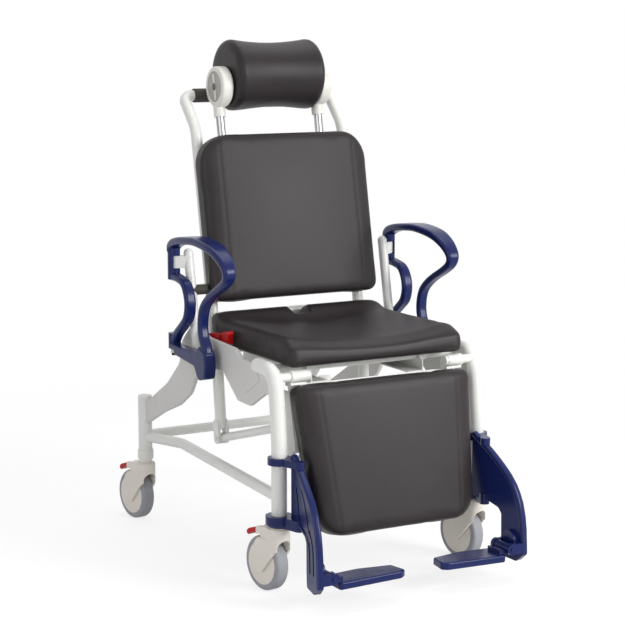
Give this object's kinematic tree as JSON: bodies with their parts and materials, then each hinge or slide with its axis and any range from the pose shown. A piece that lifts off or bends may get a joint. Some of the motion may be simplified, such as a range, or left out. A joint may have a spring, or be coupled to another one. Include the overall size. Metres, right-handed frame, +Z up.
{
  "type": "wheeled shower chair",
  "caption": "Wheeled shower chair with reclining padded back, linked rising legrest, neck roll, swing-away armrests and footrests, and braked swivel castors",
  "frame": {"origin": "on the floor, in the middle of the overall width and length", "axes": "+Z up, the sitter faces -Y, +X is the sitter's left"},
  "size_m": [0.6504, 1.0222, 1.2199],
  "materials": {
    "white_paint": "white powder coat",
    "grey_plastic": "light grey satin",
    "pad_foam": "charcoal integral foam skin",
    "blue_plastic": "dark blue gloss",
    "black_steel": "black",
    "chrome": "polished",
    "white_plastic": "white satin",
    "dark_rubber": "dark matt",
    "dark_board": "dark matt",
    "red_plastic": "red",
    "castor_plastic": "warm light grey",
    "tyre_grey": "grey"
  },
  "bodies": {
    "base": {"front_leg_right": "white_paint", "front_leg_left": "white_paint", "side_plate_right": "grey_plastic", "side_plate_left": "grey_plastic", "rear_post_right": "white_paint", "rear_post_left": "white_paint", "post_caps": "grey_plastic", "lower_rail_right": "white_paint", "lower_rail_left": "white_paint", "rear_cross_tube": "white_paint", "legrest_pins": "white_paint", "bearing_collars": "castor_plastic", "seat_frame": "white_paint", "seat_pad": "pad_foam", "armrest_post_right": "white_paint", "armrest_post_left": "white_paint", "armrest_pins": "black_steel", "pivot_bolts": "black_steel", "stop_buffer": "dark_rubber"},
    "back": {"back_frame_right": "white_paint", "back_frame_left": "white_paint", "push_bar": "white_paint", "push_grip": "dark_rubber", "back_cross_tube": "white_paint", "back_board": "dark_board", "back_pad": "pad_foam", "rod_sockets": "white_plastic"},
    "legrest": {"legrest_frame": "white_paint", "legrest_pad": "pad_foam"},
    "headrest": {"headrest_rods": "chrome", "headrest_bracket": "white_plastic", "headrest_knobs": "grey_plastic"},
    "neck_roll": {"headrest_roll": "pad_foam"},
    "spring_cylinder": {"gas_cylinder": "black_steel"},
    "spring_rod": {"gas_rod": "chrome"},
    "release": {"release_lever": "red_plastic"},
    "link_rod_right_body": {"link_rod_right": "white_paint"},
    "link_rod_left_body": {"link_rod_left": "white_paint"},
    "armrest_right_body": {"armrest_right": "blue_plastic"},
    "armrest_left_body": {"armrest_left": "blue_plastic"},
    "footrest_right_body": {"footrest_right": "blue_plastic"},
    "footrest_left_body": {"footrest_left": "blue_plastic"},
    "footplate_right_body": {"footplate_right": "blue_plastic"},
    "footplate_left_body": {"footplate_left": "blue_plastic"},
    "castor_front_right": {"castor_fork_front_right": "castor_plastic"},
    "wheel_front_right": {"castor_tyre_front_right": "tyre_grey", "castor_hub_front_right": "castor_plastic"},
    "pedal_front_right": {"castor_pedal_front_right": "red_plastic"},
    "castor_front_left": {"castor_fork_front_left": "castor_plastic"},
    "wheel_front_left": {"castor_tyre_front_left": "tyre_grey", "castor_hub_front_left": "castor_plastic"},
    "pedal_front_left": {"castor_pedal_front_left": "red_plastic"},
    "castor_rear_right": {"castor_fork_rear_right": "castor_plastic"},
    "wheel_rear_right": {"castor_tyre_rear_right": "tyre_grey", "castor_hub_rear_right": "castor_plastic"},
    "pedal_rear_right": {"castor_pedal_rear_right": "red_plastic"},
    "castor_rear_left": {"castor_fork_rear_left": "castor_plastic"},
    "wheel_rear_left": {"castor_tyre_rear_left": "tyre_grey", "castor_hub_rear_left": "castor_plastic"},
    "pedal_rear_left": {"castor_pedal_rear_left": "red_plastic"}
  },
  "joints": [
    {"name": "recline", "type": "hinge", "parent": "base", "child": "back", "pos_m": [0, 0.10542, 0.455], "axis": [-1, 0, 0], "range_deg": [0, 35]},
    {"name": "legrest_raise", "type": "hinge", "parent": "base", "child": "legrest", "pos_m": [0, -0.29908, 0.486], "axis": [-1, 0, 0], "range_deg": [0, 55.4]},
    {"name": "link_right", "type": "hinge", "parent": "back", "child": "link_rod_right_body", "pos_m": [-0.203, 0.08592, 0.27], "axis": [-1, 0, 0], "range_deg": [-37.9, 0]},
    {"name": "link_left", "type": "hinge", "parent": "back", "child": "link_rod_left_body", "pos_m": [0.203, 0.08592, 0.27], "axis": [-1, 0, 0], "range_deg": [-37.9, 0]},
    {"name": "spring_swing", "type": "hinge", "parent": "base", "child": "spring_cylinder", "pos_m": [0.17, 0.37892, 0.262], "axis": [-1, 0, 0], "range_deg": [0, 1.49]},
    {"name": "spring_stroke", "type": "slide", "parent": "spring_cylinder", "child": "spring_rod", "axis": [0, -0.6453, 0.7639], "range_m": [-0.0558, 0]},
    {"name": "headrest_height", "type": "slide", "parent": "back", "child": "headrest", "axis": [0, 0.1891, 0.982], "range_m": [0, 0.12]},
    {"name": "headrest_tilt", "type": "hinge", "parent": "headrest", "child": "neck_roll", "pos_m": [0, 0.21549, 1.10593], "axis": [-1, 0, 0], "range_deg": [-30, 30]},
    {"name": "armrest_swing_right", "type": "hinge", "parent": "base", "child": "armrest_right_body", "pos_m": [-0.3, 0.13792, 0.713], "axis": [0, 0, -1], "range_deg": [0, 100]},
    {"name": "footrest_swing_right", "type": "hinge", "parent": "base", "child": "footrest_right_body", "pos_m": [-0.2625, -0.31408, 0.1555], "axis": [0, 0, -1], "range_deg": [0, 90]},
    {"name": "footplate_flip_right", "type": "hinge", "parent": "footrest_right_body", "child": "footplate_right_body", "pos_m": [-0.2335, -0.49708, 0.079], "axis": [0, -1, 0], "range_deg": [0, 88]},
    {"name": "armrest_swing_left", "type": "hinge", "parent": "base", "child": "armrest_left_body", "pos_m": [0.3, 0.13792, 0.713], "axis": [0, 0, 1], "range_deg": [0, 100]},
    {"name": "footrest_swing_left", "type": "hinge", "parent": "base", "child": "footrest_left_body", "pos_m": [0.2625, -0.31408, 0.1555], "axis": [0, 0, 1], "range_deg": [0, 90]},
    {"name": "footplate_flip_left", "type": "hinge", "parent": "footrest_left_body", "child": "footplate_left_body", "pos_m": [0.2335, -0.49708, 0.079], "axis": [0, 1, 0], "range_deg": [0, 88]},
    {"name": "swivel_front_right", "type": "hinge", "parent": "base", "child": "castor_front_right", "pos_m": [-0.2625, -0.31408, 0.154], "axis": [0, 0, 1], "continuous": true},
    {"name": "roll_front_right", "type": "hinge", "parent": "castor_front_right", "child": "wheel_front_right", "pos_m": [-0.2689, -0.26853, 0.0625], "axis": [-0.9903, -0.1392, 0], "continuous": true},
    {"name": "brake_front_right", "type": "hinge", "parent": "castor_front_right", "child": "pedal_front_right", "pos_m": [-0.27141, -0.2507, 0.134], "axis": [-0.9903, -0.1392, 0], "range_deg": [0, 12]},
    {"name": "swivel_front_left", "type": "hinge", "parent": "base", "child": "castor_front_left", "pos_m": [0.2625, -0.31408, 0.154], "axis": [0, 0, 1], "continuous": true},
    {"name": "roll_front_left", "type": "hinge", "parent": "castor_front_left", "child": "wheel_front_left", "pos_m": [0.2561, -0.26853, 0.0625], "axis": [-0.9903, -0.1392, 0], "continuous": true},
    {"name": "brake_front_left", "type": "hinge", "parent": "castor_front_left", "child": "pedal_front_left", "pos_m": [0.25359, -0.2507, 0.134], "axis": [-0.9903, -0.1392, 0], "range_deg": [0, 12]},
    {"name": "swivel_rear_right", "type": "hinge", "parent": "base", "child": "castor_rear_right", "pos_m": [-0.2625, 0.39892, 0.154], "axis": [0, 0, 1], "continuous": true},
    {"name": "roll_rear_right", "type": "hinge", "parent": "castor_rear_right", "child": "wheel_rear_right", "pos_m": [-0.2689, 0.44447, 0.0625], "axis": [-0.9903, -0.1392, 0], "continuous": true},
    {"name": "brake_rear_right", "type": "hinge", "parent": "castor_rear_right", "child": "pedal_rear_right", "pos_m": [-0.27141, 0.4623, 0.134], "axis": [-0.9903, -0.1392, 0], "range_deg": [0, 12]},
    {"name": "swivel_rear_left", "type": "hinge", "parent": "base", "child": "castor_rear_left", "pos_m": [0.2625, 0.39892, 0.154], "axis": [0, 0, 1], "continuous": true},
    {"name": "roll_rear_left", "type": "hinge", "parent": "castor_rear_left", "child": "wheel_rear_left", "pos_m": [0.2561, 0.44447, 0.0625], "axis": [-0.9903, -0.1392, 0], "continuous": true},
    {"name": "brake_rear_left", "type": "hinge", "parent": "castor_rear_left", "child": "pedal_rear_left", "pos_m": [0.25359, 0.4623, 0.134], "axis": [-0.9903, -0.1392, 0], "range_deg": [0, 12]},
    {"name": "release_lift", "type": "hinge", "parent": "base", "child": "release", "pos_m": [-0.2625, 0.06092, 0.522], "axis": [-1, 0, 0], "range_deg": [0, 15]}
  ],
  "couplings": [
    {"joint": "legrest_raise", "follows": "recline", "ratio": 1.5781},
    {"joint": "link_right", "follows": "recline", "ratio": -1.0771},
    {"joint": "link_left", "follows": "recline", "ratio": -1.0771},
    {"joint": "spring_swing", "follows": "recline", "ratio": 0.036892},
    {"joint": "spring_stroke", "follows": "recline", "m_per_rad": -0.090554}
  ]
}
